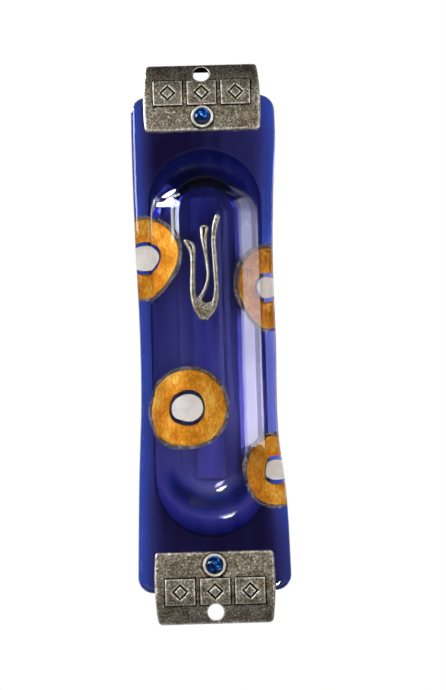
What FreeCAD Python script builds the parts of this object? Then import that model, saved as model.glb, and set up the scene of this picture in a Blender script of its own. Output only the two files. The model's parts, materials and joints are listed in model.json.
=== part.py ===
"""Mezuzah case: a slumped sandwich of clear and blue glass with foil rings, two cast end brackets,
a cast letter, and a scroll channel closed by a cover strip at the back.

Frame: millimetres. The wall is the plane Y = 0, the front faces -Y, +X is right and +Z is up the doorpost.
The origin is the centre of the back. Depth here means the distance in front of the wall, so y = -depth.
"""
import math
import os

import FreeCAD
import Part

Vector = FreeCAD.Vector

TOLERANCE = 1e-4          # how far apart two coordinates may be and still count as the same

# Depths of the stack, from the wall forwards
TAPE_T = 0.3
COVER_T = 0.7             # the cover's back and the brackets' feet meet the wall together
SHEET_T = 2.0             # each of the two glass sheets
GLUE_T = 0.2
PLATE_T = 1.5             # the brackets' cast plate
FOIL_T = 0.08
GLASS_BACK = TAPE_T + COVER_T
SEAM = GLASS_BACK + SHEET_T
GLASS_FRONT = SEAM + SHEET_T

# Glass outline, seen from the front
GLASS_HALF_LENGTH = 62.4
TOP_HALF_WIDTH = 18.2
WAIST_HALF_WIDTH = 16.95
BOTTOM_HALF_WIDTH = 18.9
CORNER_R = 4.0
WAIST_Z = 6.0

# Long bulge that makes room for the scroll: a stadium with sloping flanks
BULGE_STRAIGHT_HALF = 31.0
CREST_DEPTH = 12.4
FOOT_R = 13.5             # half-width where the bulge leaves the flat front
CREST_R = 7.9             # half-width of its flat crest
CROWN_SHEET_T = 1.85      # thickness of each sheet over the crest
SEAM_FOOT_R = 12.45
SEAM_CREST_R = 6.7
CHANNEL_MOUTH_R = 11.3
CHANNEL_TOP_R = 5.6
SHOULDER_R = 2.2
SEAM_CREST = CREST_DEPTH - CROWN_SHEET_T
CHANNEL_TOP = SEAM_CREST - CROWN_SHEET_T

# Foil rings: name suffix, centre x and z, outer half-width and half-height, disc half-width and half-height
FOIL_RINGS = (
    ("upper_left", -15.0, 21.0, 8.3, 10.2, 4.2, 3.2),
    ("upper_right", 14.6, 12.8, 7.3, 10.3, 3.0, 2.7),
    ("middle", -5.2, -17.8, 9.2, 9.4, 3.5, 3.4),
    ("lower_right", 15.9, -32.9, 8.0, 8.7, 3.1, 2.5),
)
GAP_W = 0.45              # dark gap between a disc and its ring, at the sides
GAP_H = 1.0               # the same above and below

# End brackets: the top one; the bottom one is the same casting turned end for end
BRACKET_INNER_Z = 52.7
BRACKET_BEND_Z = 61.9     # the plate is flat up to here and curves back beyond it
BRACKET_END_Z = 70.15
BRACKET_CURVE_R = 20.0
BRACKET_INNER_HALF_WIDTH = 14.4
BRACKET_MID_HALF_WIDTH = 14.75
BRACKET_END_HALF_WIDTH = 14.0
BRACKET_MID_Z = 61.0
BRACKET_CORNER_R = 1.0
END_WALL_T = 0.75
END_EDGE_R = 0.5
PLATE_BACK = GLASS_FRONT + GLUE_T
PLATE_FRONT = PLATE_BACK + PLATE_T
TILE_W = 7.3
TILE_H = 6.4
TILE_PITCH = 8.55
TILE_Z = 62.5
TILE_RISE = 0.5
DIAMOND_HALF = 2.05
DIAMOND_GROOVE_W = 0.45
DIAMOND_GROOVE_DEPTH = 0.28
BEZEL_Z = 56.15
BEZEL_R = 2.85
BEZEL_RISE = 1.0
NAIL_HOLE_Z = 67.38
NAIL_HOLE_R = 2.0

# Crystal in each bezel
CRYSTAL_R = 2.1
CRYSTAL_CLEARANCE = 0.05
CRYSTAL_GIRDLE_T = 0.6
CRYSTAL_CROWN_T = 0.9
CRYSTAL_TABLE_R = 1.15
CRYSTAL_SIDES = 12

# Glue pads under the bracket plates
GLUE_W = 25.0
GLUE_INSET = 0.8

# Letter: each stroke is a chain of (x, z, radius) points, joined by tapered bars
LETTER_T = 1.1
LETTER_GLUE_T = 0.1
LETTER_STROKES = (
    ((-4.9, 23.3, 0.45), (-3.75, 22.2, 0.95), (-3.25, 20.2, 0.75), (-3.3, 17.0, 0.6), (-3.45, 12.5, 0.65),
     (-3.3, 9.5, 0.75), (-2.5, 6.8, 1.0), (-1.2, 4.6, 1.1)),
    ((-0.25, 26.2, 1.1), (-0.4, 23.6, 0.8), (-0.1, 20.4, 0.5), (0.2, 17.4, 0.4), (0.35, 14.4, 0.4),
     (-0.1, 12.2, 0.42), (-1.0, 10.2, 0.45), (-1.9, 8.6, 0.6), (-2.0, 6.4, 0.8)),
    ((3.05, 29.1, 0.75), (2.3, 26.4, 0.7), (1.95, 23.0, 0.6), (2.1, 19.0, 0.62), (2.25, 15.0, 0.6),
     (2.35, 11.5, 0.6), (2.1, 8.6, 0.75), (1.2, 6.3, 0.95), (-0.4, 4.6, 1.1)),
    ((-2.35, 8.6, 0.75), (-1.5, 7.0, 1.2), (-0.25, 6.2, 1.5), (0.9, 6.9, 1.2)),
)

# Scroll channel contents and its cover
SCROLL_LENGTH = 70.0
SCROLL_R = 3.45
SCROLL_TURNS = 5
SCROLL_CORE_R = 1.2
PARCHMENT_T = 0.3
WRAPPER_T = 0.12
WRAPPER_GAP = 0.03
WRAPPER_R = SCROLL_R + WRAPPER_GAP + WRAPPER_T
SCROLL_DEPTH = 4.9
COVER_HALF_WIDTH = 14.2
COVER_HALF_LENGTH = 49.0
TAPE_W = 2.4
TAPE_HALF_LENGTH = 30.0

ACROSS = 100.0            # longer than anything it is used to cut


def at_depth(x, depth, z):
    """A point given by its depth in front of the wall."""
    return Vector(x, -depth, z)


def face_of(edges):
    return Part.Face(Part.Wire(Part.__sortEdges__(edges)))


def polygon(points):
    return Part.Face(Part.makePolygon(points + [points[0]]))


def slab(face, depth_from, depth_to):
    """Extrudes a face drawn in the wall plane so that it fills the depths between two values."""
    moved = face.translated(at_depth(0, depth_from, 0))
    return moved.extrude(at_depth(0, depth_to - depth_from, 0))


def arc_through(a, b, c):
    return Part.Arc(a, b, c).toShape()


def ellipse_face(x, z, half_width, half_height):
    """An upright or lying ellipse in the wall plane."""
    centre = Vector(x, 0, z)
    side = centre + Vector(half_width, 0, 0)
    top = centre + Vector(0, 0, half_height)
    if half_height > half_width:
        curve = Part.Ellipse(top, side, centre)
    else:
        curve = Part.Ellipse(side, top, centre)
    return Part.Face(Part.Wire([curve.toShape()]))


def rounded_at(face, radius, z_low, z_high):
    """Rounds the corners of a thin slab of the face whose z lies in the given range, and returns its face."""
    body = face.extrude(Vector(0, -1, 0))
    upright = [
        e for e in body.Edges
        if len(e.Vertexes) == 2
        and abs(e.Vertexes[0].Y - e.Vertexes[1].Y) > TOLERANCE
        and z_low <= abs(e.Vertexes[0].Z) <= z_high
    ]
    rounded = body.makeFillet(radius, upright)
    front = [f for f in rounded.Faces if abs(f.CenterOfMass.y) < TOLERANCE]
    return front[0]


def glass_outline():
    """Waisted outline with straight ends and rounded corners."""
    length = GLASS_HALF_LENGTH
    top_left = Vector(-TOP_HALF_WIDTH, 0, length)
    top_right = Vector(TOP_HALF_WIDTH, 0, length)
    bottom_left = Vector(-BOTTOM_HALF_WIDTH, 0, -length)
    bottom_right = Vector(BOTTOM_HALF_WIDTH, 0, -length)
    left = arc_through(top_left, Vector(-WAIST_HALF_WIDTH, 0, -WAIST_Z), bottom_left)
    right = arc_through(top_right, Vector(WAIST_HALF_WIDTH, 0, WAIST_Z), bottom_right)
    ends = [Part.makeLine(top_left, top_right), Part.makeLine(bottom_left, bottom_right)]
    return rounded_at(face_of([left, right] + ends), CORNER_R, length - 1, length + 1)


def stadium_bulge(foot_r, foot_depth, crest_r, crest_depth, shoulder_r):
    """Solid bulge from foot_depth to crest_depth: a trapezium run along Z, turned through half a circle at
    each end, with its crest edge rounded."""
    half = BULGE_STRAIGHT_HALF
    across = polygon([
        at_depth(-foot_r, foot_depth, -half),
        at_depth(foot_r, foot_depth, -half),
        at_depth(crest_r, crest_depth, -half),
        at_depth(-crest_r, crest_depth, -half),
    ])
    body = across.extrude(Vector(0, 0, 2 * half))
    for end in (-1, 1):
        cone = Part.makeCone(
            foot_r, crest_r, crest_depth - foot_depth, at_depth(0, foot_depth, end * half), Vector(0, -1, 0)
        )
        body = body.fuse(cone)
    body = body.removeSplitter()
    crest_edges = [e for e in body.Edges if all(abs(-v.Y - crest_depth) < TOLERANCE for v in e.Vertexes)]
    return body.makeFillet(shoulder_r, crest_edges)


def glass_up_to(flat_depth, foot_r, crest_r, crest_depth):
    """Everything inside the outline from the back of the glass up to one of its front surfaces."""
    flat = slab(glass_outline(), GLASS_BACK, flat_depth)
    bulge = stadium_bulge(foot_r, flat_depth, crest_r, crest_depth, SHOULDER_R)
    return flat.fuse(bulge).removeSplitter()


def scroll_channel():
    """Space behind the bulge, open at the back of the glass."""
    return stadium_bulge(CHANNEL_MOUTH_R, GLASS_BACK, CHANNEL_TOP_R, CHANNEL_TOP, SHOULDER_R)


def blue_sheet():
    return glass_up_to(SEAM, SEAM_FOOT_R, SEAM_CREST_R, SEAM_CREST)


def foil_layer(seam_body):
    """Thin layer that lies on the seam between the two sheets."""
    return seam_body.translated(at_depth(0, FOIL_T, 0)).cut(seam_body)


def foil_pieces(layer):
    """The gold rings and their silver discs, as a name for each solid."""
    pieces = {}
    for name, x, z, half_w, half_h, disc_w, disc_h in FOIL_RINGS:
        outer = slab(ellipse_face(x, z, half_w, half_h), 0, CREST_DEPTH)
        inner = slab(ellipse_face(x, z, disc_w + GAP_W, disc_h + GAP_H), 0, CREST_DEPTH)
        disc = slab(ellipse_face(x, z, disc_w, disc_h), 0, CREST_DEPTH)
        pieces["gold_ring_" + name] = layer.common(outer.cut(inner))
        pieces["silver_disc_" + name] = layer.common(disc)
    return pieces


def depth_on_curve(radius, z_run):
    """Depth of an arc about the plate's centre of curvature, z_run beyond the bend."""
    return PLATE_FRONT - BRACKET_CURVE_R + math.sqrt(radius ** 2 - z_run ** 2)


def plate_profile(lift, thickness):
    """Side view of a bracket's plate, from its inner edge to its outer end, lifted off its front by lift."""
    front = PLATE_FRONT + lift
    back = front - thickness
    run = BRACKET_END_Z - BRACKET_BEND_Z

    def curve(radius):
        points = [
            at_depth(0, depth_on_curve(radius, z_run), BRACKET_BEND_Z + z_run)
            for z_run in (0, run / 2, run)
        ]
        return arc_through(*points)

    outer_r = BRACKET_CURVE_R + lift
    inner_r = outer_r - thickness
    inner_front = at_depth(0, front, BRACKET_INNER_Z)
    inner_back = at_depth(0, back, BRACKET_INNER_Z)
    end_front = at_depth(0, depth_on_curve(outer_r, run), BRACKET_END_Z)
    end_back = at_depth(0, depth_on_curve(inner_r, run), BRACKET_END_Z)
    edges = [
        Part.makeLine(inner_front, at_depth(0, front, BRACKET_BEND_Z)),
        curve(outer_r),
        Part.makeLine(end_front, end_back),
        curve(inner_r),
        Part.makeLine(at_depth(0, back, BRACKET_BEND_Z), inner_back),
        Part.makeLine(inner_back, inner_front),
    ]
    return face_of(edges)


def plate_layer(lift, thickness):
    """The bracket plate's side view run right across the case."""
    return plate_profile(lift, thickness).translated(Vector(-ACROSS / 2, 0, 0)).extrude(Vector(ACROSS, 0, 0))


def bracket_outline():
    """Plan of a bracket: slightly barrelled sides, rounded corners."""
    corners = {}
    for side in (-1, 1):
        corners[side] = (
            Vector(side * BRACKET_INNER_HALF_WIDTH, 0, BRACKET_INNER_Z),
            Vector(side * BRACKET_MID_HALF_WIDTH, 0, BRACKET_MID_Z),
            Vector(side * BRACKET_END_HALF_WIDTH, 0, BRACKET_END_Z),
        )
    edges = [arc_through(*corners[-1]), arc_through(*corners[1])]
    edges += [Part.makeLine(corners[-1][i], corners[1][i]) for i in (0, 2)]
    return rounded_at(face_of(edges), BRACKET_CORNER_R, BRACKET_INNER_Z - 1, BRACKET_END_Z + 1)


def tile(x):
    """Raised square tile with a diamond cut into it."""
    corners = ((-1, -1), (1, -1), (1, 1), (-1, 1))
    outline = polygon([Vector(x + a * TILE_W / 2, 0, TILE_Z + b * TILE_H / 2) for a, b in corners])
    square = slab(outline, 0, CREST_DEPTH)
    raised = plate_layer(TILE_RISE, TILE_RISE).common(square)

    def diamond(half):
        points = ((1, 0), (0, 1), (-1, 0), (0, -1))
        return polygon([Vector(x + half * a, 0, TILE_Z + half * b) for a, b in points])

    inner_half = DIAMOND_HALF - DIAMOND_GROOVE_W * math.sqrt(2)
    groove = slab(diamond(DIAMOND_HALF).cut(diamond(inner_half)), 0, CREST_DEPTH)
    return raised.cut(groove.common(plate_layer(TILE_RISE, DIAMOND_GROOVE_DEPTH)))


def wall_cylinder(x, z, radius, depth_from, depth_to):
    return Part.makeCylinder(radius, depth_to - depth_from, at_depth(x, depth_from, z), Vector(0, -1, 0))


def bracket():
    """The top bracket: plate, end wall, tiles and bezel in one casting, drilled for a nail."""
    outline = bracket_outline()
    plate = plate_layer(0, PLATE_T).common(slab(outline, 0, CREST_DEPTH))
    wall_depth = depth_on_curve(BRACKET_CURVE_R - PLATE_T / 2, BRACKET_END_Z - BRACKET_BEND_Z)
    wall_box = Part.makeBox(
        ACROSS, wall_depth, END_WALL_T, Vector(-ACROSS / 2, -wall_depth, BRACKET_END_Z - END_WALL_T)
    )
    end_wall = wall_box.common(slab(outline, 0, CREST_DEPTH))
    body = plate.fuse(end_wall).removeSplitter()
    end_edges = [
        e for e in body.Edges
        if all(abs(v.Z - BRACKET_END_Z) < TOLERANCE and -v.Y > GLASS_BACK for v in e.Vertexes)
        and abs(e.Vertexes[0].X - e.Vertexes[-1].X) > BRACKET_END_HALF_WIDTH
    ]
    body = body.makeFillet(END_EDGE_R, end_edges)
    for column in (-1, 0, 1):
        body = body.fuse(tile(column * TILE_PITCH))
    bezel = wall_cylinder(0, BEZEL_Z, BEZEL_R, PLATE_FRONT, PLATE_FRONT + BEZEL_RISE)
    seat = wall_cylinder(0, BEZEL_Z, CRYSTAL_R + CRYSTAL_CLEARANCE, PLATE_FRONT, PLATE_FRONT + BEZEL_RISE)
    body = body.fuse(bezel.cut(seat)).removeSplitter()
    return body.cut(wall_cylinder(0, NAIL_HOLE_Z, NAIL_HOLE_R, 0, CREST_DEPTH))


def crystal():
    """Faceted flat-backed stone that sits in the top bezel."""
    def ring(radius, depth):
        turns = [2 * math.pi * i / CRYSTAL_SIDES for i in range(CRYSTAL_SIDES)]
        return [at_depth(radius * math.cos(t), depth, BEZEL_Z + radius * math.sin(t)) for t in turns]

    girdle_top = PLATE_FRONT + CRYSTAL_GIRDLE_T
    table_top = girdle_top + CRYSTAL_CROWN_T
    girdle = polygon(ring(CRYSTAL_R, PLATE_FRONT)).extrude(at_depth(0, CRYSTAL_GIRDLE_T, 0))
    crown_rings = (ring(CRYSTAL_R, girdle_top), ring(CRYSTAL_TABLE_R, table_top))
    wires = [Part.makePolygon(points + [points[0]]) for points in crown_rings]
    return girdle.fuse(Part.makeLoft(wires, True, True)).removeSplitter()


def bracket_glue():
    """Glue pad between the top bracket's plate and the glass."""
    low = BRACKET_INNER_Z + GLUE_INSET
    high = BRACKET_BEND_Z - GLUE_INSET
    return Part.makeBox(GLUE_W, GLUE_T, high - low, Vector(-GLUE_W / 2, -PLATE_BACK, low))


def end_for_end(shape):
    """The same piece at the bottom of the case, turned half a turn about the Y axis."""
    turned = shape.copy()
    turned.rotate(Vector(0, 0, 0), Vector(0, 1, 0), 180)
    return turned


def tapered_bar(a, b):
    """Flat bar between two round ends of different radius, in the wall plane."""
    (ax, az, ar), (bx, bz, br) = a, b
    length = math.hypot(bx - ax, bz - az)
    heading = math.atan2(bz - az, bx - ax)
    lean = math.acos((ar - br) / length)
    corners = []
    for x, z, r, turn in ((ax, az, ar, lean), (bx, bz, br, lean), (bx, bz, br, -lean), (ax, az, ar, -lean)):
        corners.append(Vector(x + r * math.cos(heading + turn), 0, z + r * math.sin(heading + turn)))
    return polygon(corners)


def disc(x, z, radius):
    return Part.Face(Part.Wire([Part.makeCircle(radius, Vector(x, 0, z), Vector(0, -1, 0))]))


def letter_solid(thickness, depth_from, inset):
    """The letter's three strokes and its solid foot as one flat solid, drawn in by inset."""
    pieces = []
    for stroke in LETTER_STROKES:
        points = [(x, z, r - inset) for x, z, r in stroke]
        pieces += [slab(disc(*p), depth_from, depth_from + thickness) for p in points]
        for a, b in zip(points, points[1:]):
            pieces.append(slab(tapered_bar(a, b), depth_from, depth_from + thickness))
    return pieces[0].multiFuse(pieces[1:]).removeSplitter()


def parchment_spiral():
    """Rolled parchment: a strip wound as half circles, each a little larger than the last."""
    pitch = (SCROLL_R - SCROLL_CORE_R - PARCHMENT_T) / (SCROLL_TURNS * 2)
    inner, outer = [], []
    centre = 0.0
    radius = SCROLL_CORE_R
    for half_turn in range(SCROLL_TURNS * 2):
        side = 1 if half_turn % 2 == 0 else -1
        for r, line in ((radius, inner), (radius + PARCHMENT_T, outer)):
            start = Vector(centre - side * r, 0, 0)
            middle = Vector(centre, side * r, 0)
            end = Vector(centre + side * r, 0, 0)
            line.append(arc_through(start, middle, end))
        centre -= side * pitch
        radius += pitch
    caps = [
        Part.makeLine(inner[0].Vertexes[0].Point, outer[0].Vertexes[0].Point),
        Part.makeLine(inner[-1].Vertexes[-1].Point, outer[-1].Vertexes[-1].Point),
    ]
    strip = face_of(inner + outer + caps).extrude(Vector(0, 0, SCROLL_LENGTH))
    return strip.translated(at_depth(0, SCROLL_DEPTH, -SCROLL_LENGTH / 2))


def scroll_wrapper():
    base = at_depth(0, SCROLL_DEPTH, -SCROLL_LENGTH / 2)
    outside = Part.makeCylinder(WRAPPER_R, SCROLL_LENGTH, base)
    return outside.cut(Part.makeCylinder(WRAPPER_R - WRAPPER_T, SCROLL_LENGTH, base))


def back_cover():
    """Thin strip with round ends over the mouth of the channel."""
    straight = COVER_HALF_LENGTH - COVER_HALF_WIDTH
    strip = Part.makeBox(
        2 * COVER_HALF_WIDTH, COVER_T, 2 * straight, Vector(-COVER_HALF_WIDTH, -COVER_T, -straight)
    )
    for end in (-1, 1):
        strip = strip.fuse(wall_cylinder(0, end * straight, COVER_HALF_WIDTH, 0, COVER_T))
    return strip.removeSplitter()


def tape_strip(side):
    """Double-sided foam tape along one long edge of the cover."""
    low_x = COVER_HALF_WIDTH - TAPE_W if side > 0 else -COVER_HALF_WIDTH
    return Part.makeBox(TAPE_W, TAPE_T, 2 * TAPE_HALF_LENGTH, Vector(low_x, -GLASS_BACK, -TAPE_HALF_LENGTH))


def make_parts():
    """Every piece, under the name of its file."""
    seam_body = blue_sheet()
    foils = foil_pieces(foil_layer(seam_body))
    whole_glass = glass_up_to(GLASS_FRONT, FOOT_R, CREST_R, CREST_DEPTH)
    clear_cap = whole_glass.cut(seam_body)
    for foil in foils.values():
        clear_cap = clear_cap.cut(foil)
    parts = {"blue_glass_sheet": seam_body.cut(scroll_channel()), "clear_glass_cap": clear_cap}
    parts.update(foils)
    parts["letter_glue"] = letter_solid(LETTER_GLUE_T, CREST_DEPTH, LETTER_GLUE_T)
    parts["letter_shin"] = letter_solid(LETTER_T, CREST_DEPTH + LETTER_GLUE_T, 0)
    for name, make in (("bracket", bracket), ("crystal", crystal), ("bracket_glue", bracket_glue)):
        shape = make()
        parts["top_" + name] = shape
        parts["bottom_" + name] = end_for_end(shape)
    parts["parchment_scroll"] = parchment_spiral()
    parts["scroll_wrapper"] = scroll_wrapper()
    parts["back_cover"] = back_cover()
    parts["left_tape_strip"] = tape_strip(-1)
    parts["right_tape_strip"] = tape_strip(1)
    return parts


def main():
    os.makedirs("parts", exist_ok=True)
    for name, shape in make_parts().items():
        solids = shape.Solids
        print(f"{name}: {len(solids)} solid, valid {shape.isValid()}, {shape.Volume:.2f} mm3")
        whole = solids[0] if len(solids) == 1 else shape
        whole.exportStep(f"parts/{name}.step")


main()
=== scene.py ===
"""Mezuzah case of fused blue glass with foil rings, cast pewter end brackets and a cast letter.

Meshes are worked out in millimetres and made in metres. Depth means the distance in front of the wall
plane, so y = -depth.
"""
import json
import math

import bmesh
import bpy
import numpy as np
from mathutils import Matrix, Vector, noise

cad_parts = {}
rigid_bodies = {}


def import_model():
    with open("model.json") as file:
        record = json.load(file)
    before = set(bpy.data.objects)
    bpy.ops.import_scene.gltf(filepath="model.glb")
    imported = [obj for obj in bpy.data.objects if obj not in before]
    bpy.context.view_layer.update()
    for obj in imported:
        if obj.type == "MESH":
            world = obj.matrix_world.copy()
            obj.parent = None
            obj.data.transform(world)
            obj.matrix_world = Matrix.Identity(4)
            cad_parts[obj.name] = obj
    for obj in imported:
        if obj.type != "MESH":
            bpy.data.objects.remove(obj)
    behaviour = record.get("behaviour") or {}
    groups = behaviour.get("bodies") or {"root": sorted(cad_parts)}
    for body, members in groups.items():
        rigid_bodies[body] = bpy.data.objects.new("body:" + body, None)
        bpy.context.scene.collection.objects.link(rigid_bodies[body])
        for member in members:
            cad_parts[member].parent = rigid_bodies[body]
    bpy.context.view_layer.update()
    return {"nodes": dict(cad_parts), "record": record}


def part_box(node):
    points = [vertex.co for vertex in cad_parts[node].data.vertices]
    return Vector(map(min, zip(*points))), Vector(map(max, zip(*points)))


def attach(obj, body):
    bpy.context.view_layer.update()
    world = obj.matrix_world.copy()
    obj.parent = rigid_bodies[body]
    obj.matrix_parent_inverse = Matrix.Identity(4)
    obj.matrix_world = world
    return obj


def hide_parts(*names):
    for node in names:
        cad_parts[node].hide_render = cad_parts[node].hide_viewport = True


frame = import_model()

MM = 0.001


def box_mm(node):
    """Lowest and highest corner of a CAD node in millimetres."""
    low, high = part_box(node)
    return low / MM, high / MM


# ---------------------------------------------------------------- sizes, from the frame where it has them
cap_low, cap_high = box_mm("clear_glass_cap")
blue_low, blue_high = box_mm("blue_glass_sheet")
stone_low, stone_high = box_mm("top_crystal")
cover_low, cover_high = box_mm("back_cover")
letter_low, letter_high = box_mm("letter_shin")

GLASS_HALF_LENGTH = cap_high.z
CREST = -cap_low.y
SEAM = -cap_high.y
SEAM_CREST = -blue_low.y
GLASS_BACK = -blue_high.y + 0.02      # a hair in front of the tape
GLASS_FRONT = -box_mm("top_bracket_glue")[1].y
CROWN_SHEET = CREST - SEAM_CREST
CHANNEL_TOP = SEAM_CREST - CROWN_SHEET
LETTER_TOP = -letter_low.y

# Sides of the glass: (z, half-width) from the top end to the bottom end
LEFT_SIDE = (
    (62.4, 18.0), (46.0, 18.0), (26.0, 17.7), (0.0, 17.0), (-15.0, 17.1), (-34.0, 18.0), (-62.4, 18.9)
)
RIGHT_SIDE = (
    (62.4, 18.2), (52.0, 18.3), (36.0, 17.3), (22.0, 16.75), (0.0, 16.85), (-26.0, 16.9), (-36.0, 18.0),
    (-62.4, 18.9)
)
CORNER_R = 4.0
EDGE_RUN = 2.3            # width of the fire-polished rounding of the front edge
BACK_EDGE_RUN = 2.2       # the same for the back edge
EDGE_WALL = 0.3           # what is left upright at the edge of each sheet

# Bulge over the scroll channel: each surface slopes from its foot or mouth up to its crest or top. The radii
# are measured from a middle line that runs STRAIGHT_HALF each way.
STRAIGHT_HALF = 31.0
FOOT_R, CREST_R = 13.5, 7.9
SEAM_FOOT_R, SEAM_CREST_R = 12.45, 6.7
MOUTH_R, CHANNEL_TOP_R = 11.9, 6.5
FOOT_SOFT, SHOULDER_SOFT = 0.018, 0.085   # rounding of the slope's two ends, as shares of its width
CREST_DOME = 0.3          # how much lower the rim of the crest lies than its middle
RIPPLES = ((0.05, 17.0, 3.1), (0.012, 5.0, 7.7))   # waves in the front surface: height, size and seed
COVER_R = (cover_high.x - cover_low.x) / 2
COVER_STRAIGHT = cover_high.z - COVER_R
COVER_FADE = 0.5          # over this width at the rim of the cover the painted light over it fades in

# Foil rings: name, centre x and z, half-width and half-height of the ring, the same of its disc
FOIL_RINGS = (
    ("upper_left", -15.0, 21.0, 8.3, 10.2, 4.2, 3.2),
    ("upper_right", 14.6, 12.8, 7.3, 10.3, 3.0, 2.7),
    ("middle", -5.2, -17.8, 9.2, 9.4, 3.5, 3.4),
    ("lower_right", 15.9, -32.9, 8.0, 8.7, 3.1, 2.5),
)
GAP_W, GAP_H = 0.45, 1.0  # what is left clear between a disc and its ring, to each side and above and below
FOIL_T = 0.08
FOIL_WOBBLE = 0.018       # how far a cut edge strays, as a share of its radius
SHORTEST_STRIP = 0.05     # a ray of foil shorter than this is left out
FRINGE_W = 0.85           # dull fringe of fired lacquer round each ring

# Letter strokes: chains of (x, z, radius). The last one fills the foot.
LETTER_STROKES = (
    ((-4.9, 23.3, 0.45), (-3.75, 22.2, 0.95), (-3.25, 20.2, 0.75), (-3.3, 17.0, 0.6), (-3.45, 12.5, 0.65),
     (-3.3, 9.5, 0.75), (-2.5, 6.8, 1.0), (-1.2, 4.6, 1.1)),
    ((-0.25, 26.2, 1.1), (-0.4, 23.6, 0.8), (-0.1, 20.4, 0.5), (0.2, 17.4, 0.4), (0.35, 14.4, 0.4),
     (-0.1, 12.2, 0.42), (-1.0, 10.2, 0.45), (-1.9, 8.6, 0.6), (-2.0, 6.4, 0.8)),
    ((3.05, 29.1, 0.75), (2.3, 26.4, 0.7), (1.95, 23.0, 0.6), (2.1, 19.0, 0.62), (2.25, 15.0, 0.6),
     (2.35, 11.5, 0.6), (2.1, 8.6, 0.75), (1.2, 6.3, 0.95), (-0.4, 4.6, 1.1)),
    ((-2.35, 8.6, 0.75), (-1.5, 7.0, 1.2), (-0.25, 6.2, 1.5), (0.9, 6.9, 1.2)),
)
LETTER_RIM = 0.34         # width of the rounding at the edge of a stroke
RIM_SHARE = 0.35          # height of a stroke at its very edge, as a share of its full height
HOLLOW_DEPTH = 0.38       # of the dip along the middle of a wide stroke
HOLLOW_START = 0.62       # how far in from the edge the hollow starts
HOLLOW_RUN = 0.3          # width over which it gets to its depth
SOLID_FOOT_Z = 9.0        # there is no hollow below this height
SOLID_FADE = 2.0          # height over which the hollow comes in above it

# Brackets
BEZEL_Z = (stone_low.z + stone_high.z) / 2
BEZEL_R = stone_high.x + 0.9
NAIL_HOLE = frame["record"]["mounts"][0]
HOLE_Z = abs(NAIL_HOLE["pos_m"][2]) / MM
HOLE_R = NAIL_HOLE["dims"]["r_mm"]
CASTING_VOXEL = 0.14      # size of the faces of a casting's mesh
SKIN_LUMP = 1.6           # size of the lumps in a casting's skin
SKIN_HEIGHT = 0.03

# How sunken a place on a casting is, from 0 on a sharp edge to 1 in a deep groove. The same scale carries
# painted shade on hidden faces.
LEVEL = 0.5
BACK_SHADE = 0.58               # painted shade on the faces towards the wall
# painted shade, darkest: in the nail hole and on the faces towards the end of the glass
HOLE_SHADE = 1.0
RUBBED = 0.18             # taken off where fingers polish
FULL_GROOVE = 0.16        # height in millimetres from a sharp edge to a deep groove


# ---------------------------------------------------------------- mesh helpers
def mesh_object(name, vertices, faces, look, smooth=True):
    """Makes an object from vertices in millimetres."""
    mesh = bpy.data.meshes.new(name)
    mesh.from_pydata((np.asarray(vertices, float) * MM).tolist(), [], faces)
    mesh.materials.append(look)
    mesh.polygons.foreach_set("use_smooth", [smooth] * len(mesh.polygons))
    mesh.update()
    piece = bpy.data.objects.new(name, mesh)
    bpy.context.scene.collection.objects.link(piece)
    return piece


def keep(piece, body, slot, *nodes):
    """Lets a piece ride on a body, in place of some CAD nodes. The slot is not used."""
    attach(piece, body)
    if nodes:
        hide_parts(*nodes)
    return piece


def grid_faces(rows, columns, start=0, flip=False):
    """Squares of a grid whose vertices are numbered row by row from the start."""
    faces = []
    for j in range(rows - 1):
        for i in range(columns - 1):
            a = start + j * columns + i
            quad = (a, a + 1, a + columns + 1, a + columns)
            faces.append(quad[::-1] if flip else quad)
    return faces


def border(rows, columns):
    """Indices round the rim of a grid, in order."""
    bottom = list(range(columns))
    right = [j * columns + columns - 1 for j in range(1, rows)]
    top = [(rows - 1) * columns + i for i in range(columns - 2, -1, -1)]
    left = [j * columns for j in range(rows - 2, 0, -1)]
    return bottom + right + top + left


def two_sided(x, z, front, back, ring=False):
    """Closed solid between two depth fields over the same grid of x and z. In a ring the last row meets the
    first. Returns vertices and faces."""
    rows, columns = x.shape
    count = rows * columns
    vertices = np.concatenate([
        np.stack([x.ravel(), -front.ravel(), z.ravel()], 1),
        np.stack([x.ravel(), -back.ravel(), z.ravel()], 1),
    ])
    faces = grid_faces(rows, columns) + grid_faces(rows, columns, count, flip=True)
    if ring:
        last = (rows - 1) * columns
        for i in range(columns - 1):
            faces.append((last + i, last + i + 1, i + 1, i))
            faces.append((count + i, count + i + 1, count + last + i + 1, count + last + i))
        inner = [j * columns for j in range(rows)]
        outer = [j * columns + columns - 1 for j in range(rows)]
        rims = [inner[::-1], outer]
    else:
        rims = [border(rows, columns)]
    for rim in rims:
        for a, b in zip(rim, rim[1:] + rim[:1]):
            faces.append((b, a, a + count, b + count))
    return vertices, faces


def bumps(x, z, size, seed):
    """Smooth random field of about unit height, with lumps of the given size in millimetres."""
    flat = [noise.noise(Vector((a / size, b / size, seed))) for a, b in zip(x.ravel(), z.ravel())]
    return np.array(flat).reshape(x.shape)


# ---------------------------------------------------------------- glass surfaces
def side_at(side, z):
    """Half-width of one side of the glass at each z, on a smooth curve through the side's points."""
    points = np.array(side)[::-1]
    zs, ws = points[:, 0], points[:, 1]
    slopes = np.gradient(ws, zs)
    k = np.clip(np.searchsorted(zs, z) - 1, 0, len(zs) - 2)
    span = zs[k + 1] - zs[k]
    t = np.clip((z - zs[k]) / span, 0, 1)
    return (
        (2 * t ** 3 - 3 * t ** 2 + 1) * ws[k]
        + (t ** 3 - 2 * t ** 2 + t) * span * slopes[k]
        + (3 * t ** 2 - 2 * t ** 3) * ws[k + 1]
        + (t ** 3 - t ** 2) * span * slopes[k + 1]
    )


def half_width(x, z):
    """Half-width of the glass on the side that x is on."""
    return np.where(x < 0, side_at(LEFT_SIDE, z), side_at(RIGHT_SIDE, z))


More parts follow.
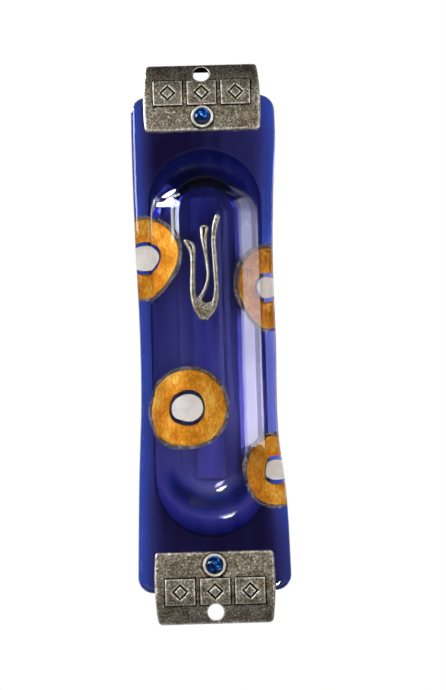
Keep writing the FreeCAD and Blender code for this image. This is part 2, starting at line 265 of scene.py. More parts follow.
def inset(x, z):
    """Distance inside the outline of the glass, negative outside."""
    qx = np.abs(x) - (half_width(x, z) - CORNER_R)
    qz = np.abs(z) - (GLASS_HALF_LENGTH - CORNER_R)
    outside = np.hypot(np.maximum(qx, 0), np.maximum(qz, 0))
    return CORNER_R - outside - np.minimum(np.maximum(qx, qz), 0)


def stadium(x, z):
    """Distance from the middle line of the bulge."""
    return np.hypot(x, np.maximum(np.abs(z) - STRAIGHT_HALF, 0))


def swell(x, z, foot_r, crest_r):
    """1 on the crest of the bulge and 0 beyond its foot, with soft corners."""
    t = (foot_r - stadium(x, z)) / (foot_r - crest_r)
    rise = FOOT_SOFT * np.logaddexp(0, t / FOOT_SOFT)
    return rise - SHOULDER_SOFT * np.logaddexp(0, (t - 1) / SHOULDER_SOFT)


def dome(x, z, crest_r):
    """How far the crest has dropped from its middle."""
    return CREST_DOME * np.minimum(stadium(x, z) / crest_r, 1.0) ** 2


def rounding(x, z, run, rise):
    """How far an edge has dropped, from nothing inside the run to rise at the outline."""
    t = np.clip(1 - inset(x, z) / run, 0, 1)
    return rise * (1 - np.sqrt(1 - t ** 2))


def front_depth(x, z):
    bulge = (CREST - dome(x, z, CREST_R) - GLASS_FRONT) * swell(x, z, FOOT_R, CREST_R)
    return GLASS_FRONT + bulge - rounding(x, z, EDGE_RUN, GLASS_FRONT - SEAM - EDGE_WALL)


def seam_depth(x, z):
    bulge = (SEAM_CREST - dome(x, z, SEAM_CREST_R) - SEAM) * swell(x, z, SEAM_FOOT_R, SEAM_CREST_R)
    return SEAM + bulge


def back_depth(x, z):
    bulge = (CHANNEL_TOP - GLASS_BACK) * swell(x, z, MOUTH_R, CHANNEL_TOP_R)
    return GLASS_BACK + bulge + rounding(x, z, BACK_EDGE_RUN, SEAM - GLASS_BACK - EDGE_WALL)


def glass_grid(columns=104, rows=270, edge_steps=8):
    """Grid of x and z over the outline, finer in the rounded edges."""
    turn = np.linspace(0, math.pi / 2, edge_steps + 1)
    edge = EDGE_RUN * (1 - np.cos(turn))
    length = GLASS_HALF_LENGTH
    middle_z = np.linspace(-length + EDGE_RUN, length - EDGE_RUN, rows)[1:-1]
    z_line = np.concatenate([-length + edge, middle_z, (length - edge)[::-1]])
    corner = np.maximum(np.abs(z_line) - (length - CORNER_R), 0)
    cut = CORNER_R - np.sqrt(np.maximum(CORNER_R ** 2 - corner ** 2, 0))
    left = -(side_at(LEFT_SIDE, z_line) - cut)
    right = side_at(RIGHT_SIDE, z_line) - cut
    share = np.linspace(0, 1, columns)[None, 1:-1]
    inner_left, inner_right = left[:, None] + EDGE_RUN, right[:, None] - EDGE_RUN
    middle_x = inner_left + (inner_right - inner_left) * share
    x = np.concatenate([left[:, None] + edge, middle_x, (right[:, None] - edge[::-1])], 1)
    return x, np.repeat(z_line[:, None], x.shape[1], 1)


def fall(distance, width, power=2):
    """1 at no distance, falling to nothing at about twice the width. A higher power has steeper sides."""
    return np.exp(-(distance / width) ** power)


def painted_side_light(x, z):
    """Painted light along the two long sides, a band and a thin rim on each, which leaves the middle of the
    sheet in painted shade. On the right it is strongest from a little above the waist down."""
    from_side = half_width(x, z) - np.abs(x)
    left_band, left_rim = fall(from_side, 3.6), fall(from_side, 0.8)
    right_band, right_rim = fall(from_side, 3.8, 4), fall(from_side, 1.3, 4)
    beside_rim = fall(from_side - 3.2, 1.2)
    fade_top, fade_height = 34.0, 18.0
    at_waist = fall(z, 42.0, 6) * np.clip((fade_top - z) / fade_height, 0.2, 1)
    left = 0.60 * left_band + 0.12 * left_rim
    right = (0.26 + 0.42 * at_waist) * right_band + 0.2 * right_rim + 0.20 * at_waist * beside_rim
    return np.where(x < 0, left, right)


def painted_middle_light(x, z):
    """Painted light over the cover, which would look black through the deep blue: lighter towards the bottom,
    less on the end slopes and beyond the mouth at the ends.
    """
    from_middle = stadium(x, z)
    from_cover_middle = np.hypot(x, np.maximum(np.abs(z) - COVER_STRAIGHT, 0))
    over_cover = np.clip((COVER_R - from_cover_middle) / COVER_FADE, 0, 1)
    # painted reflection: lighter towards the bottom
    down = np.clip(0.5 - z / (2 * STRAIGHT_HALF), 0, 1)
    ends = np.clip((np.abs(z) - STRAIGHT_HALF) / 6.0, 0, 1)
    # painted shade on the end slopes and beyond the mouth at the ends
    middle_of_slope, beyond_mouth = 9.2, 12.5
    slope = ends * fall(from_middle - middle_of_slope, 1.5)
    beyond = ends * np.clip((from_middle - beyond_mouth) / 5.0, 0, 1)
    return over_cover * (0.73 + 0.25 * down) * (1 - 0.60 * slope) * (1 - 0.40 * beyond)


def blue_tone(x, z):
    """How light the blue is, 0 to 1: painted shade, deepest at the two ends of the case, painted light along
    the sides and over the cover, a painted reflection towards the upper right, and random streaks.
    """
    # painted shade: the dark base, deepest at the two ends where nothing lighter is added; its noise is
    # random tone
    shade_base = 0.02 + 0.05 * bumps(x, z, 14.0, 21.0)
    # painted reflection: lighter towards the upper right
    upper_right = 0.22 * np.clip(z / GLASS_HALF_LENGTH, 0, 1) * np.clip(x / 14.0, 0, 1)
    streaks = 0.05 * bumps(x, z * 0.15, 2.4, 5.0)
    # painted light along the sides and over the cover
    pale = np.maximum(painted_side_light(x, z), painted_middle_light(x, z))
    return np.clip(shade_base + upper_right + streaks + pale, 0, 1)


def make_glass(clear, blue):
    """The two fused sheets. The blue one stores its tone, with painted light and shade, at each vertex."""
    x, z = glass_grid()
    ripple = sum(height * bumps(x, z, size, seed) for height, size, seed in RIPPLES)
    ripple *= np.clip(inset(x, z) / EDGE_RUN, 0, 1)
    cap = mesh_object("clear_glass", *two_sided(x, z, front_depth(x, z) + ripple, seam_depth(x, z)), clear)
    keep(cap, "case", "clear_glass", "clear_glass_cap")
    overlap = 0.01        # the blue sheet's front lies just inside the clear one, as fused glass has no gap
    sheet = mesh_object("blue_glass", *two_sided(x, z, seam_depth(x, z) + overlap, back_depth(x, z)), blue)
    tone = blue_tone(x, z).ravel()
    layer = sheet.data.attributes.new("tone", "FLOAT", "POINT")
    layer.data.foreach_set("value", np.concatenate([tone, tone]).astype(np.float32))
    keep(sheet, "case", "blue_glass", "blue_glass_sheet")


# ---------------------------------------------------------------- foil
def reach(x, z, dx, dz, far, margin=0.25):
    """How far a ray may run from a point before it leaves the glass, at most far."""
    if inset(np.array(x + dx * far), np.array(z + dz * far)) > margin:
        return far
    low, high = 0.0, far
    for _ in range(24):      # halves the uncertainty each time
        middle = (low + high) / 2
        if inset(np.array(x + dx * middle), np.array(z + dz * middle)) > margin:
            low = middle
        else:
            high = middle
    return low


def foil_piece(name, x, z, inner, outer, look, seed, turns=180, steps=14):
    """Thin foil on the seam between two ellipses, each (half-width, half-height), cut off at the edge."""
    outwards = math.pi if x < 0 else 0.0
    strips = []
    for i in range(turns):
        angle = outwards + 2 * math.pi * i / turns
        heading = (math.cos(angle), math.sin(angle))
        wobble = 1 + FOIL_WOBBLE * noise.noise(Vector((heading[0] * 1.7, heading[1] * 1.7, seed)))
        near = wobble / math.hypot(heading[0] / inner[0], heading[1] / inner[1])
        far = wobble / math.hypot(heading[0] / outer[0], heading[1] / outer[1])
        limit = reach(x, z, heading[0], heading[1], far)
        if limit > near + SHORTEST_STRIP:
            strips.append((heading, near, limit))
    share = np.linspace(0, 1, steps)
    xs = np.array([x + heading[0] * (near + (far - near) * share) for heading, near, far in strips])
    zs = np.array([z + heading[1] * (near + (far - near) * share) for heading, near, far in strips])
    crinkle = 0.02 * bumps(xs, zs, 1.1, seed) + 0.015 * bumps(xs, zs * 0.3, 0.6, seed + 5)
    base = seam_depth(xs, zs)
    whole = len(strips) == turns
    solid = two_sided(xs, zs, base + FOIL_T + crinkle, base + FOIL_T / 4, whole)
    piece = mesh_object(name, *solid, look)
    outward_faces(piece)
    return piece


def outward_faces(piece):
    """Turns all faces outwards."""
    work = bmesh.new()
    work.from_mesh(piece.data)
    bmesh.ops.recalc_face_normals(work, faces=work.faces)
    work.to_mesh(piece.data)
    work.free()


def make_foils(gold, silver, dull):
    """A gold ring, its dull fringe and its silver disc at each place."""
    point = (0.02, 0.02)
    for index, (name, x, z, half_w, half_h, disc_w, disc_h) in enumerate(FOIL_RINGS):
        ring_seed, disc_seed = 11.0 + index, 31.0 + index
        inner = (disc_w + GAP_W, disc_h + GAP_H)
        ring = foil_piece("gold_foil_" + name, x, z, inner, (half_w, half_h), gold, ring_seed)
        keep(ring, "case", "gold_foil", "gold_ring_" + name)
        outer = (half_w + FRINGE_W, half_h + FRINGE_W)
        fringe = foil_piece("foil_fringe_" + name, x, z, (half_w, half_h), outer, dull, ring_seed)
        keep(fringe, "case", "gold_foil")
        disc = foil_piece("silver_foil_" + name, x, z, point, (disc_w, disc_h), silver, disc_seed, 90)
        keep(disc, "case", "silver_foil", "silver_disc_" + name)


# ---------------------------------------------------------------- cast pewter
def read_vertices(mesh):
    """Places and normals of a mesh's vertices as two arrays."""
    co = np.zeros(len(mesh.vertices) * 3)
    normals = np.zeros(len(mesh.vertices) * 3)
    mesh.vertices.foreach_get("co", co)
    mesh.vertices.foreach_get("normal", normals)
    return co.reshape(-1, 3), normals.reshape(-1, 3)


def patina(piece, rounds=10):
    """Stores how far each vertex is sunken below its surroundings as a vertex attribute, to which painted
    shade is added later.
    """
    mesh = piece.data
    count = len(mesh.vertices)
    co, normals = read_vertices(mesh)
    ends = np.zeros(len(mesh.edges) * 2, int)
    mesh.edges.foreach_get("vertices", ends)
    a, b = ends.reshape(-1, 2).T
    degree = np.maximum(np.bincount(a, minlength=count) + np.bincount(b, minlength=count), 1)[:, None]
    soft = co.copy()
    for _ in range(rounds):
        total = np.zeros_like(soft)
        np.add.at(total, a, soft[b])
        np.add.at(total, b, soft[a])
        soft = 0.5 * soft + 0.5 * total / degree
    sunk = ((soft - co) * normals).sum(1) / MM
    value = np.clip(LEVEL + sunk / FULL_GROOVE, 0, 1)
    layer = mesh.attributes.new("patina_and_shade", "FLOAT", "POINT")
    layer.data.foreach_set("value", value.astype(np.float32))


def remeshed(name, source, smooth_rounds):
    """New object with the same shape as a mesh, made of even small faces with softened edges."""
    piece = bpy.data.objects.new(name, source.copy())
    bpy.context.scene.collection.objects.link(piece)
    remesh = piece.modifiers.new("remesh", "REMESH")
    remesh.mode = "VOXEL"
    remesh.voxel_size = CASTING_VOXEL * MM
    remesh.use_smooth_shade = True
    soften = piece.modifiers.new("soften", "SMOOTH")
    soften.factor = 0.5
    soften.iterations = smooth_rounds
    graph = bpy.context.evaluated_depsgraph_get()
    mesh = bpy.data.meshes.new_from_object(piece.evaluated_get(graph))
    piece.modifiers.clear()
    piece.data = mesh
    mesh.name = name
    return piece


def roughen(piece, seed):
    """Moves each vertex along its normal by smooth noise, as a sand casting's skin."""
    mesh = piece.data
    co, normals = read_vertices(mesh)
    shift = Vector((seed, 0, 0))
    large, small = SKIN_LUMP * MM, SKIN_LUMP * 0.4 * MM
    lift = [noise.noise(Vector(p) / large + shift) + 0.5 * noise.noise(Vector(p) / small) for p in co]
    co += normals * (np.array(lift)[:, None] * SKIN_HEIGHT * MM)
    mesh.vertices.foreach_set("co", co.ravel())
    mesh.update()


def wear_and_shade(piece):
    """Marks the bezel as rubbed and paints shade: dark on the faces towards the wall, black in the nail hole
    and on the faces towards the end of the glass."""
    mesh = piece.data
    co, normals = read_vertices(mesh)
    outward = np.sign(co[:, 2].mean())
    at_wall = normals[:, 1] > 0.3
    at_glass = (normals[:, 2] * outward < -0.6) & (co[:, 1] > -GLASS_FRONT * MM)
    from_hole = np.hypot(co[:, 0], co[:, 2] - outward * HOLE_Z * MM)
    in_hole = (from_hole < HOLE_R * MM + CASTING_VOXEL * MM) & (normals[:, 1] > -0.6)
    from_bezel = np.hypot(co[:, 0], co[:, 2] - outward * BEZEL_Z * MM)
    on_bezel = (from_bezel < BEZEL_R * MM) & (normals[:, 1] < -0.2)
    value = np.zeros(len(co), np.float32)
    layer = mesh.attributes["patina_and_shade"].data
    layer.foreach_get("value", value)
    value[on_bezel] -= RUBBED
    # painted shade: the faces towards the wall dark, the nail hole and the faces towards the end of the glass
    # black
    value[at_wall] = BACK_SHADE
    value[at_glass | in_hole] = HOLE_SHADE
    layer.foreach_set("value", value)


def make_bracket(node, pewter, seed):
    """Casting with the CAD bracket's shape, softened edges, a rough worn skin and painted shade on its hidden
    faces and in its nail hole.
    """
    piece = remeshed(node + "_casting", frame["nodes"][node].data, 3)
    roughen(piece, seed)
    patina(piece)
    wear_and_shade(piece)
    piece.data.materials.clear()
    piece.data.materials.append(pewter)
    keep(piece, "case", "pewter", node)


def stroke_distance(x, z, stroke):
    """Signed distance to a chain of round points joined by tapered bars, negative inside."""
    best = np.full(x.shape, 1e9)
    for (ax, az, ar), (bx, bz, br) in zip(stroke, stroke[1:]):
        dx, dz = bx - ax, bz - az
        t = np.clip(((x - ax) * dx + (z - az) * dz) / (dx * dx + dz * dz), 0, 1)
        best = np.minimum(best, np.hypot(x - ax - t * dx, z - az - t * dz) - (ar + t * (br - ar)))
    return best


def smooth_chain(stroke, parts=6):
    """More points along a stroke, on a Catmull-Rom curve through its own."""
    points = np.array(stroke)
    ends = np.concatenate([[2 * points[0] - points[1]], points, [2 * points[-1] - points[-2]]])
    fine = []
    for p0, p1, p2, p3 in zip(ends, ends[1:], ends[2:], ends[3:]):
        for t in np.arange(parts) / parts:
            fine.append(0.5 * (2 * p1 + (p2 - p0) * t + (2 * p0 - 5 * p1 + 4 * p2 - p3) * t ** 2
                               + (3 * p1 - p0 - 3 * p2 + p3) * t ** 3))
    fine.append(points[-1])
    return [tuple(p) for p in fine]


def letter_distance(x, z):
    """Signed distance to the outline of the whole letter."""
    best = np.full(x.shape, 1e9)
    for stroke in LETTER_STROKES:
        best = np.minimum(best, stroke_distance(x, z, smooth_chain(stroke)))
    return best


def letter_grid(step, margin=0.5, nudge=0.01):
    """Grid of x and z over the letter, its vertices near the outline pulled on to it, and their distances."""
    xs = np.arange(letter_low.x - margin, letter_high.x + margin, step)
    zs = np.arange(letter_low.z - margin, letter_high.z + margin, step)
    x, z = np.meshgrid(xs, zs)
    d = letter_distance(x, z)
    for _ in range(3):
        near = np.abs(d) < step * 0.75
        gx = (letter_distance(x + nudge, z) - letter_distance(x - nudge, z)) / (2 * nudge)
        gz = (letter_distance(x, z + nudge) - letter_distance(x, z - nudge)) / (2 * nudge)
        x = np.where(near, x - gx * d, x)
        z = np.where(near, z - gz * d, z)
        d = letter_distance(x, z)
    return x, z, d


def letter_face(x, z, d):
    """Depth of the letter's front: rounded at the edge and hollow in the wide parts above the solid foot."""
    rim = np.clip(-d / LETTER_RIM, 0, 1)
    crown = RIM_SHARE + (1 - RIM_SHARE) * np.sqrt(1 - (1 - rim) ** 2)
    inwards = np.clip((-d - HOLLOW_START) / HOLLOW_RUN, 0, 1)
    hollow = inwards ** 2 * (3 - 2 * inwards) * np.clip((z - SOLID_FOOT_Z) / SOLID_FADE, 0, 1)
    thick = LETTER_TOP - CREST
    return CREST + thick * crown - HOLLOW_DEPTH * hollow + 0.03 * bumps(x, z, 0.8, 2.0)


def trimmed_solid(x, z, front, back, inside):
    """Closed solid between two depth fields, of the grid's squares that have all corners inside. Returns
    vertices and faces."""
    rows, columns = x.shape
    numbers = {}
    vertices, faces = [], []

    def number(place, depths, level):
        key = (*place, level)
        if key not in numbers:
            numbers[key] = len(vertices)
            vertices.append((x[place], -depths[place], z[place]))
        return numbers[key]

    def front_number(place):
        return number(place, front, "front")

    def back_number(place):
        return number(place, back, "back")

    open_edges = {}
    for j in range(rows - 1):
        for i in range(columns - 1):
            if not inside[j:j + 2, i:i + 2].all():
                continue
            ring = [(j, i), (j, i + 1), (j + 1, i + 1), (j + 1, i)]
            faces.append(tuple(front_number(place) for place in ring))
            faces.append(tuple(back_number(place) for place in ring[::-1]))
            for a, b in zip(ring, ring[1:] + ring[:1]):
                if (b, a) in open_edges:
                    del open_edges[(b, a)]
                else:
                    open_edges[(a, b)] = True
    for a, b in open_edges:
        faces.append((front_number(b), front_number(a), back_number(a), back_number(b)))
    return vertices, faces


def make_letter(pewter, step=0.09):
    """Cast letter standing on the crest of the bulge, its back just inside the glass."""
    overlap = 0.05
    x, z, d = letter_grid(step)
    base = front_depth(x, z) - overlap
    solid = trimmed_solid(x, z, letter_face(x, z, d), base, d < step * 0.2)
    piece = mesh_object("letter_casting", *solid, pewter)
    patina(piece, 6)
    keep(piece, "case", "pewter", "letter_shin")


# ---------------------------------------------------------------- crystals
def ring_of(radius, depth, count, turn=0.0):
    """Points round the y axis, turned by a share of the space between them."""
    angles = [2 * math.pi * (i + turn) / count for i in range(count)]
    return [(radius * math.cos(a), -depth, radius * math.sin(a)) for a in angles]


def facet_shell(rings, closed_low, closed_high):
    """Flat-faced shell through rings of points, each ring the same length."""
    vertices = [p for ring in rings for p in ring]
    count = len(rings[0])
    faces = []
    for k in range(len(rings) - 1):
        for i in range(count):
            a, b = k * count + i, k * count + (i + 1) % count
            faces.append((a, b, b + count))
            faces.append((a, b + count, a + count))
    if closed_low:
        faces.append(tuple(range(count))[::-1])
    if closed_high:
        faces.append(tuple((len(rings) - 1) * count + i for i in range(count)))
    return vertices, faces


def make_crystal(end, crystal, mirror):
    """Faceted stone with a foil-backed pavilion inside the bezel."""
    side = 1 if end == "top" else -1
    back, front = -stone_high.y, -stone_low.y
    radius = (stone_high.x - stone_low.x) / 2
    girdle = back + 0.45 * (front - back)       # where the stone is widest
    stone_rings = [
        ring_of(radius * 0.995, back + 0.02, 16),
        ring_of(radius * 0.995, girdle, 16),
        ring_of(radius * 0.80, girdle + 0.55 * (front - girdle), 16, 0.5),
        ring_of(radius * 0.56, front, 16),
    ]
    foil_rings = [
        ring_of(radius * 0.96, girdle - 0.05, 16),
        ring_of(radius * 0.50, back + 0.30, 16, 0.5),
        ring_of(radius * 0.08, back + 0.06, 16),
    ]
    for part, rings, look, closed in (
        ("stone", stone_rings, crystal, True), ("stone_foil", foil_rings, mirror, False)
    ):
        vertices, faces = facet_shell(rings, closed, True)
        moved = [(x * side, y, z * side + side * BEZEL_Z) for x, y, z in vertices]
        piece = mesh_object(f"{end}_{part}", moved, faces, look, smooth=False)
        outward_faces(piece)
        if part == "stone":
            keep(piece, "case", "crystal", end + "_crystal")
        else:
            keep(piece, "case", "silver_foil")


# ---------------------------------------------------------------- materials
def material(name, **values):
    """New material whose Principled shader has the given values, by socket name with _ for a space."""
    made = bpy.data.materials.new(name)
    made.use_nodes = True
    shader = made.node_tree.nodes["Principled BSDF"]
    for socket, value in values.items():
        shader.inputs[socket.replace("_", " ")].default_value = value
    return made, made.node_tree, shader


def add(tree, kind, **settings):
    """New shader node with the given input values and properties."""
    node = tree.nodes.new("ShaderNode" + kind)
    for name, value in settings.items():
        if name in node.inputs.keys():
            node.inputs[name].default_value = value
        else:
            setattr(node, name, value)
    return node


def noise_field(tree, scale, detail=4.0, stretch=(1, 1, 1)):
    """Noise over the object, scale in lumps per metre, stretched per axis. Returns its value socket."""
    where = add(tree, "TexCoord")
    mapping = add(tree, "Mapping")
    mapping.inputs["Scale"].default_value = stretch
    tree.links.new(where.outputs["Object"], mapping.inputs["Vector"])
    field = add(tree, "TexNoise", Scale=scale, Detail=detail)
    tree.links.new(mapping.outputs["Vector"], field.inputs["Vector"])
    return field.outputs["Fac"]


def ramp(tree, source, stops):
    """Colour ramp from (position, colour) stops."""
    node = add(tree, "ValToRGB")
    elements = node.color_ramp.elements
    while len(elements) < len(stops):
        elements.new(0.5)
    for element, (position, colour) in zip(elements, stops):
        element.position = position
        element.color = (*colour, 1)
    tree.links.new(source, node.inputs["Fac"])
    return node.outputs["Color"]


def number_range(tree, source, low, high, start=0.0, end=1.0):
    """Socket that runs from low to high as the source runs from start to end."""
    node = add(tree, "MapRange")
    node.inputs["From Min"].default_value = start
    node.inputs["From Max"].default_value = end
    node.inputs["To Min"].default_value = low
    node.inputs["To Max"].default_value = high
    tree.links.new(source, node.inputs["Value"])
    return node.outputs["Result"]


def bump(tree, shader, source, depth_mm):
    node = add(tree, "Bump", Strength=1.0, Distance=depth_mm * MM)
    tree.links.new(source, node.inputs["Height"])
    tree.links.new(node.outputs["Normal"], shader.inputs["Normal"])


def clear_glass_material():
    white = (1, 1, 1, 1)
    made, tree, shader = material(
        "clear_glass", Base_Color=white, Roughness=0.0, IOR=1.5, Transmission_Weight=1.0
    )
    bump(tree, shader, noise_field(tree, 180.0, 2.0), 0.02)
    return made


def blue_glass_material():
    made, tree, shader = material("blue_glass", Roughness=0.0, IOR=1.5, Transmission_Weight=1.0)
    # the tone attribute holds painted light and shade with random streaks
    tone = add(tree, "Attribute", attribute_name="tone")
    colour = ramp(tree, tone.outputs["Fac"], (
        (0.02, (0.018, 0.009, 0.035)), (0.3, (0.09, 0.095, 0.19)),
        (0.6, (0.104, 0.22, 0.49)), (0.95, (0.97, 0.96, 0.95)),
    ))
    tree.links.new(colour, shader.inputs["Base Color"])
    volume = add(tree, "VolumeAbsorption", Color=(0.05, 0.06, 0.94, 1), Density=560.0)
    tree.links.new(volume.outputs["Volume"], tree.nodes["Material Output"].inputs["Volume"])
    bump(tree, shader, noise_field(tree, 260.0, 2.0), 0.01)
    return made


def gold_material():
    made, tree, shader = material("gold_foil", Metallic=0.9)
    streaks = noise_field(tree, 2200.0, 5.0, (1.0, 1.0, 0.5))
    patches = noise_field(tree, 230.0, 2.0)
    mixed = add(tree, "Mix", data_type="FLOAT")
    mixed.inputs[0].default_value = 0.55
    tree.links.new(streaks, mixed.inputs[2])
    tree.links.new(patches, mixed.inputs[3])
    colour = ramp(tree, mixed.outputs[0], (
        (0.36, (0.58, 0.19, 0.006)), (0.5, (0.86, 0.36, 0.022)), (0.62, (1.0, 0.62, 0.11)),
    ))
    tree.links.new(colour, shader.inputs["Base Color"])
    tree.links.new(number_range(tree, streaks, 0.3, 0.6), shader.inputs["Roughness"])
    bump(tree, shader, streaks, 0.25)
    return made


def silver_material():
    made, tree, shader = material("silver_foil", Metallic=0.0)
    patches = noise_field(tree, 420.0, 3.0)
    tree.links.new(ramp(tree, patches, ((0.3, (0.88, 0.88, 0.89)), (0.6, (1.0, 1.0, 1.0)))),
                   shader.inputs["Base Color"])
    tree.links.new(number_range(tree, patches, 0.35, 0.6), shader.inputs["Roughness"])
    bump(tree, shader, patches, 0.04)
    return made


def fringe_material():
    """Brown-grey scum at the rim of the foil, thin enough to let the blue through in places."""
    made, tree, shader = material("fringe", Roughness=0.6)
    specks = noise_field(tree, 900.0, 5.0)
    tree.links.new(ramp(tree, specks, ((0.35, (0.10, 0.08, 0.10)), (0.65, (0.34, 0.29, 0.26)))),
                   shader.inputs["Base Color"])
    tree.links.new(number_range(tree, specks, 0.25, 0.85), shader.inputs["Alpha"])
    return made


def pewter_material():
    """Dark patina where the casting is sunken, grey on the level, bright where edges are rubbed, and painted
    shade on the brackets' faces towards the wall and the glass and in the nail holes. The darkest places have
    no metal showing."""
    made, tree, shader = material("pewter")
    # the attribute holds patina and, on hidden faces, painted shade
    patina_and_shade = add(tree, "Attribute", attribute_name="patina_and_shade")
    bare = number_range(tree, patina_and_shade.outputs["Fac"], 1.0, 0.0, 0.85, 1.0)
    tree.links.new(bare, shader.inputs["Metallic"])
    tree.links.new(bare, shader.inputs["Specular IOR Level"])
    grain = noise_field(tree, 2600.0, 6.0)
    stain = ramp(tree, noise_field(tree, 420.0, 4.0), ((0.35, (0.55, 0.51, 0.44)), (0.62, (1.0, 1.0, 1.0))))
    shifted = add(tree, "Mix", data_type="FLOAT")
    shifted.inputs[0].default_value = 0.42
    tree.links.new(patina_and_shade.outputs["Fac"], shifted.inputs[2])
    tree.links.new(grain, shifted.inputs[3])
    tone = ramp(tree, shifted.outputs[0], (
        (0.38, (0.95, 0.93, 0.87)), (0.46, (0.34, 0.31, 0.255)),
        (0.55, (0.12, 0.105, 0.08)), (0.62, (0.008, 0.007, 0.005)),
    ))
    stained = add(tree, "Mix", data_type="RGBA", blend_type="MULTIPLY")
    stained.inputs[0].default_value = 1.0
    tree.links.new(tone, stained.inputs[6])
    tree.links.new(stain, stained.inputs[7])
    tree.links.new(stained.outputs[2], shader.inputs["Base Color"])
    tree.links.new(number_range(tree, grain, 0.32, 0.62), shader.inputs["Roughness"])
    bump(tree, shader, grain, 0.12)
    return made


def crystal_material():
    made, tree, shader = material("blue_crystal", Roughness=0.0, IOR=1.6, Transmission_Weight=1.0)
    cloud = noise_field(tree, 500.0, 2.0)
    tree.links.new(ramp(tree, cloud, ((0.3, (0.20, 0.48, 0.95)), (0.7, (0.32, 0.62, 1.0)))),
                   shader.inputs["Base Color"])
    return made


def mirror_material():
    made, tree, shader = material("stone_backing", Metallic=1.0, Roughness=0.12)
    facets = noise_field(tree, 900.0, 1.0)
    tree.links.new(ramp(tree, facets, ((0.35, (0.02, 0.09, 0.28)), (0.65, (0.14, 0.55, 0.85)))),
                   shader.inputs["Base Color"])
    return made


def paper_material(name, low, high, scale, roughness=0.7):
    made, tree, shader = material(name, Roughness=roughness)
    fibres = noise_field(tree, scale, 6.0)
    tree.links.new(ramp(tree, fibres, ((0.3, low), (0.7, high))), shader.inputs["Base Color"])
    bump(tree, shader, fibres, 0.03)
    return made


def paint_nodes():
    """Materials of the CAD nodes that are shown as they are."""
    cover = paper_material("cover_sheet", (0.80, 0.80, 0.78), (0.88, 0.88, 0.86), 1500.0, 0.45)
    foam = paper_material("foam_tape", (0.85, 0.85, 0.83), (0.93, 0.93, 0.91), 3000.0, 0.8)
    parchment = paper_material("parchment", (0.66, 0.54, 0.34), (0.80, 0.70, 0.50), 600.0, 0.6)
    wrapper = paper_material("waxed_paper", (0.82, 0.80, 0.72), (0.92, 0.90, 0.84), 900.0, 0.4)
    glue = paper_material("glue", (0.50, 0.50, 0.46), (0.62, 0.62, 0.58), 700.0, 0.25)
    for node, look in (
        ("back_cover", cover), ("left_tape_strip", foam), ("right_tape_strip", foam),
        ("parchment_scroll", parchment), ("scroll_wrapper", wrapper), ("letter_glue", glue),
        ("top_bracket_glue", glue), ("bottom_bracket_glue", glue),
    ):
        mesh = frame["nodes"][node].data
        mesh.materials.clear()
        mesh.materials.append(look)


# ---------------------------------------------------------------- stage, light and camera
def make_stage():
    """Floor far below the case. It stops in front of the case, so that the glass doesn't mirror it."""
    floor_z, half, back_edge = -700.0, 1500.0, -300.0
    outline = ((-half, -half), (half, -half), (half, back_edge), (-half, back_edge))
    corners = [(x, y, floor_z) for x, y in outline]
    pale, _, _ = material("pale_floor", Base_Color=(0.9, 0.9, 0.9, 1), Roughness=0.8)
    mesh_object("floor", corners, [(0, 1, 2, 3)], pale, smooth=False)


def make_world():
    """White to the camera; for light and reflections, bright behind the case and dim in front of it."""
    world = bpy.data.worlds.new("studio")
    bpy.context.scene.world = world
    world.use_nodes = True
    tree = world.node_tree
    where = add(tree, "TexCoord")
    split = add(tree, "SeparateXYZ")
    tree.links.new(where.outputs["Generated"], split.inputs["Vector"])
    spread = add(tree, "MapRange")
    spread.inputs["From Min"].default_value = 0.32
    spread.inputs["From Max"].default_value = 0.48
    tree.links.new(split.outputs["Y"], spread.inputs["Value"])
    room = ramp(tree, spread.outputs["Result"], ((0.0, (0.035, 0.035, 0.045)), (1.0, (0.88, 0.9, 0.95))))
    seen = add(tree, "Background", Color=(1, 1, 1, 1), Strength=1.0)
    lit = add(tree, "Background", Strength=1.0)
    tree.links.new(room, lit.inputs["Color"])
    path = add(tree, "LightPath")
    choose = add(tree, "MixShader")
    tree.links.new(path.outputs["Is Camera Ray"], choose.inputs["Fac"])
    tree.links.new(lit.outputs["Background"], choose.inputs[1])
    tree.links.new(seen.outputs["Background"], choose.inputs[2])
    tree.links.new(choose.outputs["Shader"], tree.nodes["World Output"].inputs["Surface"])


def softbox(name, place, size, radiance, colour=(1, 1, 1), only=(), spared=()):
    """Rectangular lamp facing the case, (width, height) in millimetres. It lights only some pieces, if given,
    or leaves out the spared ones."""
    lamp = bpy.data.lights.new(name, "AREA")
    lamp.shape = "RECTANGLE"
    lamp.size, lamp.size_y = size[0] * MM, size[1] * MM
    lamp.energy = radiance * math.pi * lamp.size * lamp.size_y
    lamp.color = colour
    holder = bpy.data.objects.new(name, lamp)
    bpy.context.scene.collection.objects.link(holder)
    holder.location = Vector(place) * MM
    holder.rotation_mode = "QUATERNION"
    holder.rotation_quaternion = Vector(place).to_track_quat("Z", "Y")
    if only or spared:
        group = bpy.data.collections.new(name)
        for piece in only or spared:
            group.objects.link(piece)
        for member in group.collection_objects:
            member.light_linking.link_state = "INCLUDE" if only else "EXCLUDE"
        holder.light_linking.receiver_collection = group


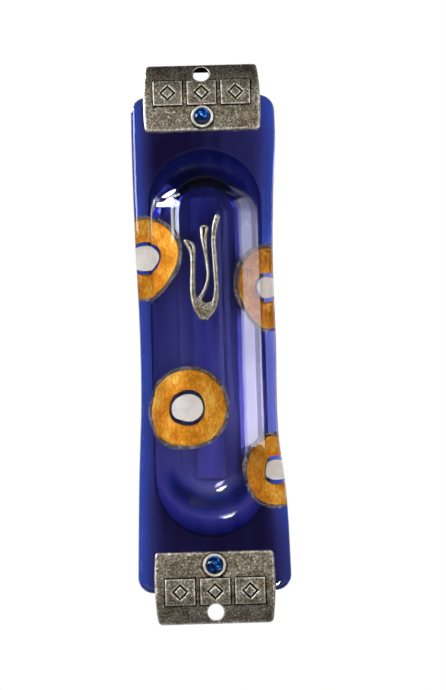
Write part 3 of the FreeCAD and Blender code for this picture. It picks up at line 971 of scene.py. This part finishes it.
def make_lights(castings):
    """Windows to the right and left, mirrored in the bulge, and soft fills. The window on the right is in
    strips, (lowest z, highest z, radiance), brighter towards its sill."""
    lavender = (0.86, 0.84, 1.0)
    warm = (1.0, 0.97, 0.92)
    window = (
        (22, 60, 5.2), (60, 85, 4.4), (85, 105, 3.7), (105, 125, 3.1), (125, 145, 2.5), (145, 165, 2.0),
        (165, 314, 1.5)
    )
    for index, (low, high, radiance) in enumerate(window):
        place = (470, 125, (low + high) / 2)
        softbox(f"window_right_{index}", place, (140, high - low), radiance, lavender)
    softbox("window_right_high", (400, 230, 420), (160, 230), 0.7, lavender)
    softbox("fill_left", (-330, -820, 140), (260, 300), 9.0, warm, only=castings)
    softbox("fill_right", (360, -820, 120), (260, 300), 8.0, warm, only=castings)
    softbox("fill_low", (150, -640, -460), (150, 330), 60.0, warm, spared=castings)
    softbox("window_left", (-440, -135, 205), (240, 190), 9.5)
    softbox("window_left_corner", (-430, 60, 275), (170, 110), 22.0)
    softbox("window_left_behind", (-352, 190, 282), (100, 230), 22.0)
    softbox("haze", (92, -800, 134), (36, 136), 1.2, (0.4, 0.42, 1.0), spared=castings)
    softbox("strip_left", (-440, -190, 30), (12, 190), 6.0, (0.8, 0.85, 1.0))


def make_camera():
    """Below the middle of the case and square to it from left to right, rolled a little clockwise."""
    place = Vector((0, -563.5, -85.2)) * MM
    tilt_up, pan_right, roll = math.radians(8.51), math.radians(0.37), math.radians(1.65)
    turn = (
        Matrix.Rotation(-pan_right, 4, "Z")
        @ Matrix.Rotation(tilt_up, 4, "X")
        @ Matrix.Rotation(roll, 4, "Y")
        @ Matrix.Rotation(math.radians(90), 4, "X")
    )
    data = bpy.data.cameras.new("camera")
    data.lens = 118.7
    data.sensor_width = 36.0
    data.clip_start, data.clip_end = 0.01, 20.0
    camera = bpy.data.objects.new("camera", data)
    bpy.context.scene.collection.objects.link(camera)
    camera.matrix_world = Matrix.Translation(place) @ turn
    bpy.context.scene.camera = camera


def main():
    scene = bpy.context.scene
    scene.view_settings.view_transform = "Standard"
    make_camera()
    make_world()
    make_stage()
    pewter = pewter_material()
    make_glass(clear_glass_material(), blue_glass_material())
    make_foils(gold_material(), silver_material(), fringe_material())
    make_letter(pewter)
    make_bracket("top_bracket", pewter, 1.0)
    make_bracket("bottom_bracket", pewter, 9.0)
    crystal, mirror = crystal_material(), mirror_material()
    for end in ("top", "bottom"):
        make_crystal(end, crystal, mirror)
    paint_nodes()
    make_lights([piece for piece in scene.objects if piece.name.endswith("_casting")])


main()
